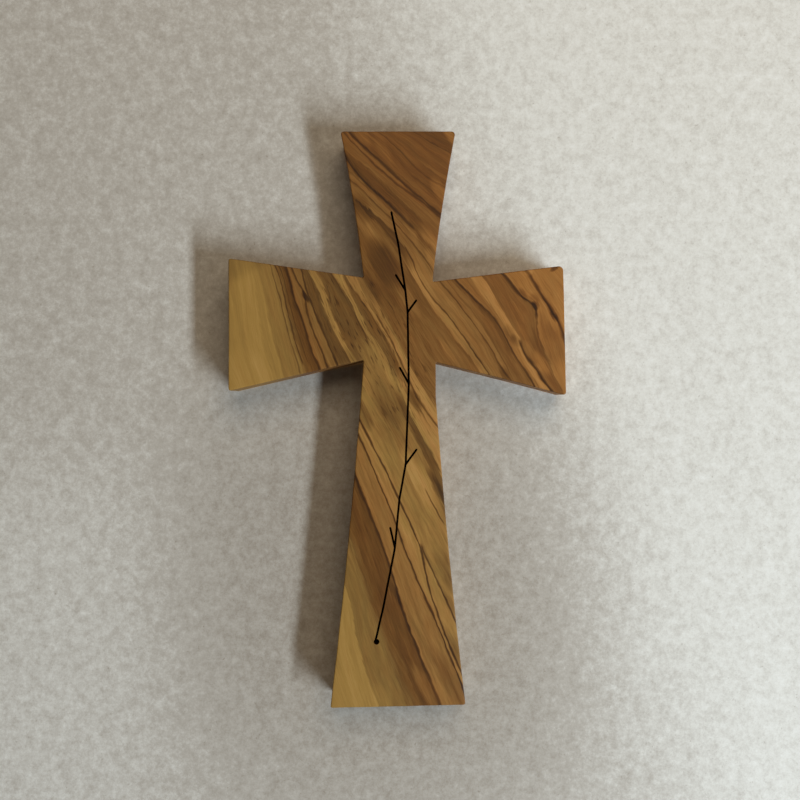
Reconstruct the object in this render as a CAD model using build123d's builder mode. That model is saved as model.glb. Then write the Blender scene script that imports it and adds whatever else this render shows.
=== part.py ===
from build123d import *
import os
from math import radians, tan

# A wall cross sawn from one board, with a keyhole plate let in behind its upper arm.
# Millimetres and degrees. +X is right and +Z is up as seen from the front, and the front faces -Y.
# The origin is the centre of the plate's keyhole, on the back face, which lies against the wall.

# The board: sawn by hand, so the two arms differ a little and the foot is cut out of level
board_height = 200.0
board_thickness = 16.0
top_width = 40.1
waist_width = 24.0
foot_width = 47.1
foot_cut_tilt = 1.3
shoulder_drop = 50.8
arm_root_height = 27.8
arm_fall = 11.85
left_arm_reach = 59.0
left_arm_rise = 6.7
right_arm_reach = 58.5
right_arm_rise = 5.6
right_arm_drop = 1.45
right_end_lean = 1.0
upper_flank_hollow = 0.5
arm_flank_hollow = 0.2
foot_flank_hollow = 0.65
outer_corner_radius = 1.0
inner_corner_radius = 0.4
edge_ease_radius = 0.8

# The sawn twig: places across the waist and down the board, from its top end to the blade's entry hole
kerf_width = 0.75
entry_hole_radius = 1.0
twig_top_shares = (-0.097, 0.141)
upper_bend_shares = (0.003, 0.196)
thorn_root_shares = ((0.106, 0.277), (0.139, 0.315), (0.156, 0.439), (0.111, 0.579), (-0.045, 0.724))
thorn_tip_shares = ((-0.033, 0.250), (0.265, 0.294), (0.025, 0.411), (0.268, 0.553), (-0.113, 0.689))
lower_bend_shares = (0.019, 0.640)
foot_bend_shares = (-0.216, 0.829)
twig_foot_shares = (-0.327, 0.886)
entry_hole_shares = (-0.310, 0.887)

# The keyhole plate and its seat
keyhole_radius = 4.25
slot_width = 4.6
slot_rise = 5.5
plate_thickness = 1.5
plate_rim = 2.25
plate_top_margin = 3.9
plate_corner_radius = 2.0
plate_edge_break = 0.25
mortise_clearance = 0.15
pocket_clearance = 0.6
pocket_depth = 6.5

# The plate's screws
screw_spacing = 19.0
screw_length = 11.0
screw_shank_radius = 1.25
screw_head_radius = 2.5
screw_head_angle = 90.0
screw_tip_length = 2.5
screw_end_margin = 1.0
screw_clearance = 0.05
pilot_spare_depth = 0.5
recess_span = 2.8
recess_width = 0.7
recess_depth = 1.1

# Cuts reach this far past the faces that they open
cut_overrun = 1.0

# Heights on the back, from the keyhole's centre
plate_bottom = -(keyhole_radius + plate_rim)
plate_top = slot_rise + keyhole_radius + plate_rim
plate_height = plate_top - plate_bottom
plate_middle = (plate_top + plate_bottom) / 2
plate_width = screw_spacing + 2 * (screw_head_radius + screw_end_margin)
board_top = plate_top + plate_top_margin
board_bottom = board_top - board_height
left_shoulder_height = board_top - shoulder_drop
left_armpit_height = left_shoulder_height - arm_root_height
right_shoulder_height = left_shoulder_height - right_arm_drop
right_armpit_height = left_armpit_height - right_arm_drop
crossing_height = (left_shoulder_height + right_armpit_height) / 2

# Seen from behind, with the board below the plane
back = Plane(origin=(0, 0, 0), x_dir=(-1, 0, 0), z_dir=(0, 1, 0))


def on_foot(across):
    """A point of the foot's lower edge, which was sawn a little out of level."""
    return Vector(across, board_bottom + across * tan(radians(foot_cut_tilt)))


def on_twig(shares):
    """A point of the sawn twig, from its shares of the waist and of the board's height."""
    across_share, down_share = shares
    return Vector(across_share * waist_width, board_top - down_share * board_height)


# The cross, drawn on the back face and grown towards the front
top_left = Vector(-top_width / 2, board_top)
top_right = Vector(top_width / 2, board_top)
left_shoulder = Vector(-waist_width / 2, left_shoulder_height)
left_end_top = Vector(-left_arm_reach, left_shoulder_height + left_arm_rise)
left_end_bottom = Vector(-left_arm_reach, left_armpit_height - arm_fall)
left_armpit = Vector(-waist_width / 2, left_armpit_height)
foot_left = on_foot(-foot_width / 2)
foot_right = on_foot(foot_width / 2)
right_armpit = Vector(waist_width / 2, right_armpit_height)
right_end_bottom = Vector(right_arm_reach, right_armpit_height - arm_fall)
right_end_top = Vector(right_arm_reach - right_end_lean, right_shoulder_height + right_arm_rise)
right_shoulder = Vector(waist_width / 2, right_shoulder_height)

with BuildPart() as cross_board:
    with BuildSketch(Plane.XZ) as outline:
        with BuildLine():
            Line(top_right, top_left)
            SagittaArc(top_left, left_shoulder, upper_flank_hollow)
            Line(left_shoulder, left_end_top)
            Line(left_end_top, left_end_bottom)
            SagittaArc(left_end_bottom, left_armpit, arm_flank_hollow)
            SagittaArc(left_armpit, foot_left, foot_flank_hollow)
            Line(foot_left, foot_right)
            SagittaArc(foot_right, right_armpit, foot_flank_hollow)
            SagittaArc(right_armpit, right_end_bottom, arm_flank_hollow)
            Line(right_end_bottom, right_end_top)
            Line(right_end_top, right_shoulder)
            SagittaArc(right_shoulder, top_right, upper_flank_hollow)
        make_face()
        corners = outline.vertices().sort_by_distance((0, crossing_height))
        inner_corners = corners[:4]
        outer_corners = corners[4:]
        fillet(inner_corners, radius=inner_corner_radius)
        fillet(outer_corners, radius=outer_corner_radius)
    extrude(amount=board_thickness)
    fillet(cross_board.faces().filter_by(Axis.Y).edges(), radius=edge_ease_radius)

    # The saw kerf and its thorns, right through the board
    with BuildSketch(Plane.XZ.offset(-cut_overrun)):
        thorn_roots = [on_twig(shares) for shares in thorn_root_shares]
        thorn_tips = [on_twig(shares) for shares in thorn_tip_shares]
        with BuildLine():
            Polyline(
                on_twig(twig_top_shares),
                on_twig(upper_bend_shares),
                *thorn_roots[:4],
                on_twig(lower_bend_shares),
                thorn_roots[4],
                on_twig(foot_bend_shares),
                on_twig(twig_foot_shares),
            )
        trace(line_width=kerf_width)
        for root, tip in zip(thorn_roots, thorn_tips):
            with BuildLine():
                Line(root, tip)
            trace(line_width=kerf_width)
        with Locations(on_twig(entry_hole_shares)):
            Circle(entry_hole_radius)
    extrude(amount=board_thickness + 2 * cut_overrun, mode=Mode.SUBTRACT)

    # The plate's mortise, and the deeper pocket that takes the head of the wall screw
    with BuildSketch(back.offset(-plate_thickness)):
        with Locations((0, plate_middle)):
            RectangleRounded(
                plate_width + 2 * mortise_clearance,
                plate_height + 2 * mortise_clearance,
                plate_corner_radius + mortise_clearance,
            )
    extrude(amount=plate_thickness + cut_overrun, mode=Mode.SUBTRACT)
    with BuildSketch(back.offset(-pocket_depth)):
        with Locations((0, slot_rise / 2)):
            SlotCenterToCenter(slot_rise, 2 * (keyhole_radius + pocket_clearance), rotation=90)
    extrude(amount=pocket_depth, mode=Mode.SUBTRACT)

    # The pilot holes
    with Locations(back):
        with Locations((0, plate_middle)):
            with GridLocations(screw_spacing, 0, 2, 1):
                CounterSinkHole(
                    radius=screw_shank_radius + screw_clearance,
                    counter_sink_radius=screw_head_radius + screw_clearance,
                    depth=screw_length + pilot_spare_depth,
                    counter_sink_angle=screw_head_angle,
                )

# The keyhole plate: pressed steel, flush with the back face
with BuildPart() as keyhole_plate:
    with BuildSketch(back.offset(-plate_thickness)):
        with Locations((0, plate_middle)):
            RectangleRounded(plate_width, plate_height, plate_corner_radius)
        Circle(keyhole_radius, mode=Mode.SUBTRACT)
        with Locations((0, slot_rise / 2)):
            SlotCenterToCenter(slot_rise, slot_width, rotation=90, mode=Mode.SUBTRACT)
    extrude(amount=plate_thickness)
    rim = keyhole_plate.faces().sort_by(Axis.Y)[-1].outer_wire()
    fillet(rim.edges(), radius=plate_edge_break)
    with Locations(back):
        with Locations((0, plate_middle)):
            with GridLocations(screw_spacing, 0, 2, 1):
                CounterSinkHole(
                    radius=screw_shank_radius + screw_clearance,
                    counter_sink_radius=screw_head_radius + screw_clearance,
                    depth=plate_thickness + cut_overrun,
                    counter_sink_angle=screw_head_angle,
                )

# One countersunk screw at each end of the plate
head_height = (screw_head_radius - screw_shank_radius) / tan(radians(screw_head_angle / 2))
screw_places = {"hanger_screw_left": -screw_spacing / 2, "hanger_screw_right": screw_spacing / 2}
screws = {}
for screw_name, across in screw_places.items():
    with BuildPart() as hanger_screw:
        with BuildSketch(Plane(origin=(across, 0, plate_middle))):
            with BuildLine():
                Polyline(
                    (0, 0),
                    (screw_head_radius, 0),
                    (screw_shank_radius, -head_height),
                    (screw_shank_radius, screw_tip_length - screw_length),
                    (0, -screw_length),
                    close=True,
                )
            make_face()
        revolve(axis=Axis((across, 0, plate_middle), (0, 1, 0)))
        with BuildSketch(Plane(origin=(across, 0, plate_middle), x_dir=back.x_dir, z_dir=back.z_dir)):
            Rectangle(recess_span, recess_width)
            Rectangle(recess_width, recess_span)
        extrude(amount=-recess_depth, mode=Mode.SUBTRACT)
    screws[screw_name] = hanger_screw

os.makedirs("parts", exist_ok=True)
pieces = {"cross_board": cross_board, "keyhole_plate": keyhole_plate, **screws}
for piece_name, piece in pieces.items():
    piece.part.label = piece_name
    export_step(piece.part, f"parts/{piece_name}.step")
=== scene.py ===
from math import cos, pi, radians, sin, tan

import bmesh
import bpy
import numpy as np
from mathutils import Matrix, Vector, noise
from mathutils.geometry import delaunay_2d_cdt


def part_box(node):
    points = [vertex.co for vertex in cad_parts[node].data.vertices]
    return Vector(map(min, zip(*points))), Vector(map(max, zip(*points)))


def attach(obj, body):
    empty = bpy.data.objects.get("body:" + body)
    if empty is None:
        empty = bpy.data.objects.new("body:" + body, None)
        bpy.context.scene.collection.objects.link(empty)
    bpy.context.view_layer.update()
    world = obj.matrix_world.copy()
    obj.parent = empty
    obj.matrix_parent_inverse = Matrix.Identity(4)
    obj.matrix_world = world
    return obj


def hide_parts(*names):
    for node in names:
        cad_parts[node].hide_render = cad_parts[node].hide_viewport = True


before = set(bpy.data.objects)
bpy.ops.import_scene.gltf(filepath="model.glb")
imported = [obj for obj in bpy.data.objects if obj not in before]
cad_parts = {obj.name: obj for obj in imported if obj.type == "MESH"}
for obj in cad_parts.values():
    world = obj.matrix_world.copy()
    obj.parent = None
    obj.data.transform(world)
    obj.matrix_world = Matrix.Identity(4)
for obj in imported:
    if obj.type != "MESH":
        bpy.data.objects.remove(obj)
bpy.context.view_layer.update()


# The cross: one board of figured olive wood, sawn to shape by hand, with its faces sanded and its edges
# eased. A saw kerf drawn as a thorn twig goes right through it, and the back is cut out for the hanger
# plate. It is oiled and rubbed to a satin sheen. Sizes here are millimetres.
metres = 0.001
board_low, board_high = [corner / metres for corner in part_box("cross_board")]
front_face = board_low.y
back_face = board_high.y
board_top = board_high.z
board_height = 200.0
board_bottom = board_top - board_height

# The outline's corners, anticlockwise from the top right as seen from the front: place across and
# height, the radius that sanding left on the corner, and the hollow of the side that follows it
top_width = 40.1
waist_width = 24.0
foot_width = 47.1
foot_cut_tilt = radians(1.3)
left_reach = -board_low.x
right_reach = board_high.x
shoulder_height = -34.9
left_armpit_height = -63.7
left_arm_fall = 10.85
right_armpit_height = -64.15
right_arm_fall = 11.85
left_arm_rise = 6.7
right_arm_rise = 5.6
right_arm_drop = 1.45
right_end_lean = 1.0
right_shoulder_height = shoulder_height - right_arm_drop
full_flank = 13.2
full_flank_drop = 0.3
full_flank_end = -77.0
full_flank_bend = 40.0
foot_rise = tan(foot_cut_tilt) * foot_width / 2
inner_corner = 0.4
upper_hollow = 0.5
left_arm_hollow = 0.05
right_arm_hollow = 0.2
left_foot_hollow = 0.65
right_foot_hollow = 0.6
outline_corners = (
    (top_width / 2, board_top, 1.2, 0.0),
    (-top_width / 2, board_top, 0.9, upper_hollow),
    (-waist_width / 2, shoulder_height, inner_corner, 0.0),
    (-left_reach, shoulder_height + left_arm_rise, 0.8, 0.0),
    (-left_reach, left_armpit_height - left_arm_fall, 0.8, left_arm_hollow),
    (-waist_width / 2, left_armpit_height, inner_corner, left_foot_hollow),
    (-foot_width / 2, board_bottom - foot_rise, 0.7, 0.0),
    (foot_width / 2, board_bottom + foot_rise, 0.8, right_foot_hollow),
    (full_flank, full_flank_end, full_flank_bend, 0.0),
    (full_flank, right_armpit_height - full_flank_drop, inner_corner, right_arm_hollow),
    (right_reach, right_armpit_height - right_arm_fall, 0.9, 0.0),
    (right_reach - right_end_lean, right_shoulder_height + right_arm_rise, 1.6, 0.0),
    (waist_width / 2, right_shoulder_height, inner_corner, upper_hollow),
)
outline_step = 0.8
corner_steps = 6


def corner_arc(before, corner, after, radius):
    """Points round a corner of the outline, from the side before it to the side after it."""
    backwards = (before - corner).normalized()
    onwards = (after - corner).normalized()
    half_angle = backwards.angle(onwards) / 2
    reach = radius / tan(half_angle)
    middle = corner + (backwards + onwards).normalized() * radius / sin(half_angle)
    first = (corner + backwards * reach - middle).normalized()
    last = (corner + onwards * reach - middle).normalized()
    return [middle + radius * first.slerp(last, step / corner_steps) for step in range(corner_steps + 1)]


def hollow_side(start, end, hollow):
    """Points along a side, without its ends, bowed into the wood by the hollow."""
    along = end - start
    inwards = Vector((-along.y, along.x)).normalized()
    count = max(2, round(along.length / outline_step))
    shares = [step / count for step in range(1, count)]
    return [start + along * share + inwards * 4 * hollow * share * (1 - share) for share in shares]


corners = [Vector((across, height)) for across, height, radius, hollow in outline_corners]
arcs = []
for index, (across, height, radius, hollow) in enumerate(outline_corners):
    after = corners[(index + 1) % len(corners)]
    arcs.append(corner_arc(corners[index - 1], corners[index], after, radius))
outline_points = []
for index, (across, height, radius, hollow) in enumerate(outline_corners):
    following = arcs[(index + 1) % len(arcs)]
    outline_points += arcs[index]
    outline_points += hollow_side(arcs[index][-1], following[0], hollow)
outline = np.array(outline_points)
tangents = np.roll(outline, -1, axis=0) - np.roll(outline, 1, axis=0)
inward = np.stack([-tangents[:, 1], tangents[:, 0]], axis=1)
inward /= np.linalg.norm(inward, axis=1)[:, None]


def unevenness(points, wavelength, seed):
    """Smooth random numbers from 0 to 1 at places on the board, alike on each run."""
    places = [Vector((x / wavelength, z / wavelength, seed)) for x, z in points]
    return np.array([0.5 + 0.5 * noise.noise(place) for place in places])


# Hand sanding took a little off the sides, eased the edges unevenly and let the faces fall off at the rim.
# Each of these has its wavelength and its own seed.
sanded_off_sides = 0.12
side_wave = 9.0
side_seed = 1.0
edge_ease = 0.45
edge_ease_spread = 0.3
ease_wave = 14.0
ease_seed = 2.0
rim_fall = 0.09
rim_reach = 2.2
face_unevenness = 0.05
face_wave = 18.0
front_seed = 3.0
back_seed = 4.0
ease_steps = 6
side_rings = 4
sides_worn = inward * (sanded_off_sides * unevenness(outline, side_wave, side_seed))[:, None]
worn_outline = outline + sides_worn
ease = edge_ease + edge_ease_spread * (unevenness(outline, ease_wave, ease_seed) - 0.5)


def sanded_depth(points, seed):
    """How far sanding took a face down at these places: most at the rim, and a little all over."""
    points = np.asarray(points, float)
    gaps = [np.linalg.norm(worn_outline - point, axis=1).min() for point in points]
    fall = rim_fall * np.exp(-np.array(gaps) / rim_reach)
    return fall + face_unevenness * unevenness(points, face_wave, seed)


# The board's faces by their corners' places, each with the number of its finish
board_faces = []
face_finishes = []
sanded_finish = 0
scorched_and_shaded_finish = 1


def add_faces(faces, finish=sanded_finish):
    """Adds faces, given by their corners' places, to the board."""
    board_faces.extend(faces)
    face_finishes.extend([finish] * len(faces))


def add_triangles(places, triangles):
    """Adds triangles, given by their corners' numbers, to the board."""
    add_faces([tuple(places[corner] for corner in triangle) for triangle in triangles])


def add_wall(first, second):
    """Adds the faces between two closed rings of the same number of points."""
    count = len(first)
    steps = [(step, (step + 1) % count) for step in range(count)]
    add_faces([(first[a], first[b], second[b], second[a]) for a, b in steps])


def ring_at(points, heights):
    """The points of a ring as places in space, at one depth or each at its own."""
    return [(x, y, z) for (x, z), y in zip(points, np.broadcast_to(heights, len(points)))]


rim = worn_outline + inward * ease[:, None]
front_rim_depth = sanded_depth(rim, front_seed)
back_rim_depth = sanded_depth(rim, back_seed)


def eased_ring(step, face, into_wood, rim_depth):
    """A ring of an eased edge, from step 0 at the rim of a face to the last step at the side."""
    angle = step / ease_steps * pi / 2
    inset = worn_outline + inward * (ease * (1 - sin(angle)))[:, None]
    depth = rim_depth * cos(angle) + ease * (1 - cos(angle))
    return ring_at(inset, face + into_wood * depth)


rings = [eased_ring(step, front_face, 1, front_rim_depth) for step in range(ease_steps + 1)]
for step in range(1, side_rings):
    rings.append(ring_at(worn_outline, front_face + (back_face - front_face) * step / side_rings))
rings += [eased_ring(step, back_face, -1, back_rim_depth) for step in range(ease_steps, -1, -1)]
for ring, next_ring in zip(rings, rings[1:]):
    add_wall(ring, next_ring)

# The kerf: its stem and thorns as places across the waist and down the board, and the blade's entry hole
kerf_width = 0.75
kerf_waver = 0.07
kerf_wave = 4.0
kerf_step = 0.9
stem_seed = 5.0
first_thorn_seed = 6.0
entry_hole_radius = 1.0
thorn_root_shares = ((0.106, 0.277), (0.139, 0.315), (0.156, 0.439), (0.111, 0.579), (-0.045, 0.724))
thorn_tip_shares = ((-0.033, 0.250), (0.265, 0.294), (0.025, 0.411), (0.268, 0.553), (-0.113, 0.689))
stem_shares = (
    (-0.097, 0.141),
    (0.003, 0.196),
    *thorn_root_shares[:4],
    (0.019, 0.640),
    thorn_root_shares[4],
    (-0.216, 0.829),
    (-0.327, 0.886),
)
entry_hole_shares = (-0.310, 0.887)


def on_twig(shares):
    """A place on the twig from its shares of the waist and of the board's height."""
    return np.array((shares[0] * waist_width, board_top - shares[1] * board_height))


def sawn_strip(path_shares, seed):
    """The outline of a kerf along a path: nearly even in width, a little unsteady, with round ends."""
    path = np.array([on_twig(shares) for shares in path_shares])
    lengths = np.r_[0, np.cumsum(np.linalg.norm(np.diff(path, axis=0), axis=1))]
    stops = np.linspace(0, lengths[-1], max(4, round(lengths[-1] / kerf_step)))
    line = np.stack([np.interp(stops, lengths, path[:, axis]) for axis in (0, 1)], axis=1)
    line[1:-1] = (line[:-2] + 2 * line[1:-1] + line[2:]) / 4
    along = np.gradient(line, axis=0)
    along /= np.linalg.norm(along, axis=1)[:, None]
    across = np.stack([-along[:, 1], along[:, 0]], axis=1)
    line += across * (kerf_waver * (unevenness(line, kerf_wave, seed) - 0.5))[:, None]
    half = across * kerf_width / 2
    start = line[0] - along[0] * kerf_width / 2
    end = line[-1] + along[-1] * kerf_width / 2
    return np.vstack([[start], line - half, [end], (line + half)[::-1]])


def circle(centre, radius, count=24):
    """The points of a circle."""
    angles = np.arange(count) * 2 * pi / count
    return np.asarray(centre) + radius * np.stack([np.cos(angles), np.sin(angles)], axis=1)


kerfs = [sawn_strip(stem_shares, stem_seed)]
for number, (root, tip) in enumerate(zip(thorn_root_shares, thorn_tip_shares)):
    kerfs.append(sawn_strip((root, tip), first_thorn_seed + number))
kerfs.append(circle(on_twig(entry_hole_shares), entry_hole_radius))


# The face maker keeps what lies inside its loops, and joins points this near each other
inside_loops = 1
joining_reach = 1e-6


def filled(rim_points, holes, points_inside=()):
    """Triangles that fill a rim and leave holes, which may overlap, and the edges left round the holes."""
    loops = [np.asarray(rim_points), *holes]
    starts = np.r_[0, np.cumsum([len(loop) for loop in loops])]
    faces = [list(range(start, start + len(loop))) for start, loop in zip(starts, loops)]
    places = [Vector(place) for loop in (*loops, points_inside) for place in loop]
    made = delaunay_2d_cdt(places, [], faces, inside_loops, joining_reach)
    points, _, triangles, old_points, _, old_faces = made
    only_in_rim = [0]
    kept = [triangle for triangle, inside in zip(triangles, old_faces) if inside == only_in_rim]
    directed = {(a, b) for triangle in kept for a, b in zip(triangle, triangle[1:] + triangle[:1])}
    on_rim = {number for number, old in enumerate(old_points) if any(place < starts[1] for place in old)}
    hole_edges = [(a, b) for a, b in directed if (b, a) not in directed and not {a, b} <= on_rim]
    return np.array(points), kept, hole_edges


# Inner points keep the faces finely divided, so that they carry the unevenness
face_step = 1.4
cut_clearance = 0.55
across_places = np.arange(board_low.x, board_high.x, face_step)
up_places = np.arange(board_low.z, board_high.z, face_step)
grid = [(x + face_step / 2 * (row % 2), z) for row, z in enumerate(up_places) for x in across_places]
grid = np.array(grid)


def inner_points(loops):
    """The points of the grid that lie inside the board's rim and stand clear of it and of these loops."""
    edges = np.vstack([rim, *loops])
    clear = np.array([np.linalg.norm(edges - point, axis=1).min() > cut_clearance for point in grid])
    ends = np.roll(rim, -1, axis=0)
    inside = np.zeros(len(grid), bool)
    for (ax, az), (bx, bz) in zip(rim, ends):
        spans = (az > grid[:, 1]) != (bz > grid[:, 1])
        meets = ax + (grid[:, 1] - az) * (bx - ax) / (bz - az if bz != az else 1.0)
        inside ^= spans & (grid[:, 0] < meets)
    return grid[clear & inside]


# The front face, and the kerf's walls right through to the back
front_points, front_triangles, kerf_edges = filled(rim, kerfs, inner_points(kerfs))
front_places = ring_at(front_points, front_face + sanded_depth(front_points, front_seed))
behind = ring_at(front_points, back_face - sanded_depth(front_points, back_seed))
kerf_walls = [(front_places[b], front_places[a], behind[a], behind[b]) for a, b in kerf_edges]
add_triangles(front_places, front_triangles)
add_faces(kerf_walls, scorched_and_shaded_finish)

# The plate's mortise, the pocket for the wall screw's head, and the screws' pilot holes
plate_low, plate_high = [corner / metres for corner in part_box("keyhole_plate")]
mortise_clearance = 0.15
mortise_corner = 2.15
mortise_floor = plate_low.y
pocket_floor = -6.5
pocket_radius = 4.85
slot_rise = 5.5
pilot_radius = 1.3
pilot_floor = -11.5
screw_spacing = 19.0
plate_middle = (plate_low.z + plate_high.z) / 2


def rounded_box(low, high, radius):
    """A rectangle with round corners."""
    quarter = np.linspace(0, pi / 2, corner_steps + 1)
    turns = ((high[0], high[1], 0), (low[0], high[1], 1), (low[0], low[1], 2), (high[0], low[1], 3))
    points = []
    for x, z, turn in turns:
        angles = quarter + turn * pi / 2
        outwards = np.sign((cos(angles.mean()), sin(angles.mean())))
        middle = np.array((x, z)) - radius * outwards
        points += list(middle + radius * np.stack([np.cos(angles), np.sin(angles)], axis=1))
    return np.array(points)


mortise = rounded_box(
    (plate_low.x - mortise_clearance, plate_low.z - mortise_clearance),
    (plate_high.x + mortise_clearance, plate_high.z + mortise_clearance),
    mortise_corner,
)
pocket = rounded_box(
    (-pocket_radius, -pocket_radius),
    (pocket_radius, slot_rise + pocket_radius),
    pocket_radius,
)
pilots = [circle((side * screw_spacing / 2, plate_middle), pilot_radius) for side in (-1, 1)]
back_cuts = [*kerfs, mortise]
back_points, back_triangles = filled(rim, back_cuts, inner_points(back_cuts))[:2]
back_places = ring_at(back_points, back_face - sanded_depth(back_points, back_seed))
add_triangles(back_places, back_triangles)
add_wall(ring_at(mortise, back_face - sanded_depth(mortise, back_seed)), ring_at(mortise, mortise_floor))
floor_points, floor_triangles = filled(mortise, [pocket, *pilots])[:2]
add_triangles(ring_at(floor_points, mortise_floor), floor_triangles)
for hole, hole_floor in ((pocket, pocket_floor), *((pilot, pilot_floor) for pilot in pilots)):
    bottom = ring_at(hole, hole_floor)
    add_wall(ring_at(hole, mortise_floor), bottom)
    add_faces([tuple(bottom)])

seam_reach = 0.003
sharp_angle = radians(38)
board_mesh = bmesh.new()
for places, finish in zip(board_faces, face_finishes):
    face = board_mesh.faces.new([board_mesh.verts.new(Vector(place) * metres) for place in places])
    face.material_index = finish
    face.smooth = True
bmesh.ops.remove_doubles(board_mesh, verts=board_mesh.verts, dist=seam_reach * metres)
bmesh.ops.recalc_face_normals(board_mesh, faces=board_mesh.faces)
if any(len(edge.link_faces) != 2 for edge in board_mesh.edges):
    raise ValueError("the board's mesh isn't closed")
cross = bpy.data.objects.new("olive_cross", bpy.data.meshes.new("olive_cross"))
board_mesh.to_mesh(cross.data)
board_mesh.free()
cross.data.set_sharp_from_angle(angle=sharp_angle)
bpy.context.scene.collection.objects.link(cross)


# Olive wood's figure: growth lines traced from the board, each with the tone of the wood beyond it.
# Their points are the photograph's pixels, columns and rows, and the scale turns them to millimetres.
# A tone runs from 0, the darkest vein, to 1, the palest gold.
pixels_per_millimetre = 2.88
axis_column = 397.5
top_row = 130.4
grain_fall = radians(60)
along_span = (-30.0, 180.0)
across_span = (-125.0, 45.0)
depth_lean = 0.45
least_gap = 0.12
least_flow = 0.4
tone_turn_reach = 5.0
tint_turn_reach = 2.0
vein_fade = 2.5


def feed(tree, socket, value):
    """Links a node's output to a socket, or sets a number, colour or list on it."""
    if isinstance(value, bpy.types.NodeSocket):
        tree.links.new(value, socket)
    else:
        socket.default_value = value


def feed_all(tree, node, values):
    """Feeds a node's inputs, given by name."""
    for name, value in values.items():
        feed(tree, node.inputs[name], value)


def put(tree, kind, values=None, **settings):
    """A new node with these settings, and these values on its inputs."""
    made = tree.nodes.new(kind)
    for name, value in settings.items():
        setattr(made, name, value)
    feed_all(tree, made, values or {})
    return made


def new_finish(name):
    """A new material, its node tree and its main shader."""
    material = bpy.data.materials.new(name)
    material.use_nodes = True
    return material, material.node_tree, material.node_tree.nodes["Principled BSDF"]


def object_place(tree):
    """The place on a piece in the piece's own coordinates."""
    return put(tree, "ShaderNodeTexCoord").outputs["Object"]


def maths(tree, operation, *values):
    """The result of a sum on numbers or outputs."""
    made = put(tree, "ShaderNodeMath", operation=operation)
    for socket, value in zip(made.inputs, values):
        feed(tree, socket, value)
    return made.outputs[0]


def ranged(tree, value, low, high, to_low=0.0, to_high=1.0, easing="SMOOTHSTEP"):
    """A value taken from one range to another, held at soft ends, or going on past them if linear."""
    made = put(tree, "ShaderNodeMapRange", interpolation_type=easing, clamp=False)
    for socket, each in zip(made.inputs, (value, low, high, to_low, to_high)):
        feed(tree, socket, each)
    return made.outputs[0]


def group_ends(tree, inputs, outputs, output_kind="NodeSocketFloat"):
    """Gives a group its named sockets, numbers on the way in, and returns its two ends."""
    for name in inputs:
        tree.interface.new_socket(name, in_out="INPUT", socket_type="NodeSocketFloat")
    for name in outputs:
        tree.interface.new_socket(name, in_out="OUTPUT", socket_type=output_kind)
    return put(tree, "NodeGroupInput").outputs, put(tree, "NodeGroupOutput").inputs


growth_line = bpy.data.node_groups.new("growth_line", "ShaderNodeTree")
given, returned = group_ends(
    growth_line,
    ("Across", "Feathered", "Along", "Traced", "Last place", "Last flow", "Last tone", "Last tint", "Gap",
     "Tone", "Lower tone", "Turn", "Tint", "Softness", "Shade", "Shade reach",
     "Vein", "Vein width", "Vein tone", "Vein from", "Vein to", "Vein life"),
    ("Place", "Flow", "Tone", "Tint"),
)


def worked(operation, *values):
    """The result of a sum inside the growth line."""
    return maths(growth_line, operation, *values)


def eased(*values, easing="SMOOTHSTEP"):
    """A value taken from one range to another inside the growth line."""
    return ranged(growth_line, *values, easing=easing)


traced = eased(given["Traced"], 0.0, 1.0, *across_span, easing="LINEAR")
place = worked("MAXIMUM", traced, worked("ADD", given["Last place"], least_gap))
beyond = worked("SUBTRACT", given["Across"], place)
feathered = worked("SUBTRACT", given["Feathered"], place)
turn_start = worked("SUBTRACT", given["Turn"], tone_turn_reach)
turn_end = worked("ADD", given["Turn"], tone_turn_reach)
layer = eased(given["Along"], turn_start, turn_end, given["Tone"], given["Lower tone"])
shade_start = worked("MULTIPLY", given["Shade reach"], -1.0)
shade = eased(feathered, shade_start, 0.0, 0.0, given["Shade"])
shaded = worked("SUBTRACT", given["Last tone"], shade)
tone = eased(feathered, 0.0, given["Softness"], shaded, layer)
half_vein = worked("MULTIPLY", given["Vein width"], given["Vein life"])
vein = eased(worked("ABSOLUTE", beyond), 0.0, half_vein, given["Vein"], 0.0)
fade_start = worked("SUBTRACT", given["Vein from"], vein_fade)
fade_end = worked("ADD", given["Vein to"], vein_fade)
vein = worked("MULTIPLY", vein, eased(given["Along"], fade_start, given["Vein from"]))
vein = worked("MULTIPLY", vein, eased(given["Along"], given["Vein to"], fade_end, 1.0, 0.0))
tone = eased(vein, 0.0, 1.0, tone, given["Vein tone"], easing="LINEAR")
last_flow = given["Last flow"]
next_flow = worked("ADD", last_flow, given["Gap"])
flow = eased(given["Across"], given["Last place"], place, last_flow, next_flow, easing="LINEAR")
flow = worked("MINIMUM", worked("MAXIMUM", flow, last_flow), next_flow)
tint = eased(feathered, 0.0, tint_turn_reach, given["Last tint"], given["Tint"])
for socket, value in zip(returned, (place, flow, tone, tint)):
    feed(growth_line, socket, value)

olive_wood, wood, wood_finish = new_finish("olive_wood")
turned = put(wood, "ShaderNodeMapping", {
    "Vector": object_place(wood),
    "Rotation": (0, -grain_fall, 0),
    "Scale": (1 / metres,) * 3,
})
grain_axes = put(wood, "ShaderNodeSeparateXYZ", {"Vector": turned.outputs[0]})
straight_along = grain_axes.outputs["X"]
depth = maths(wood, "SUBTRACT", grain_axes.outputs["Y"], front_face)
straight_across = maths(wood, "MULTIPLY_ADD", depth, depth_lean, grain_axes.outputs["Z"])


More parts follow.
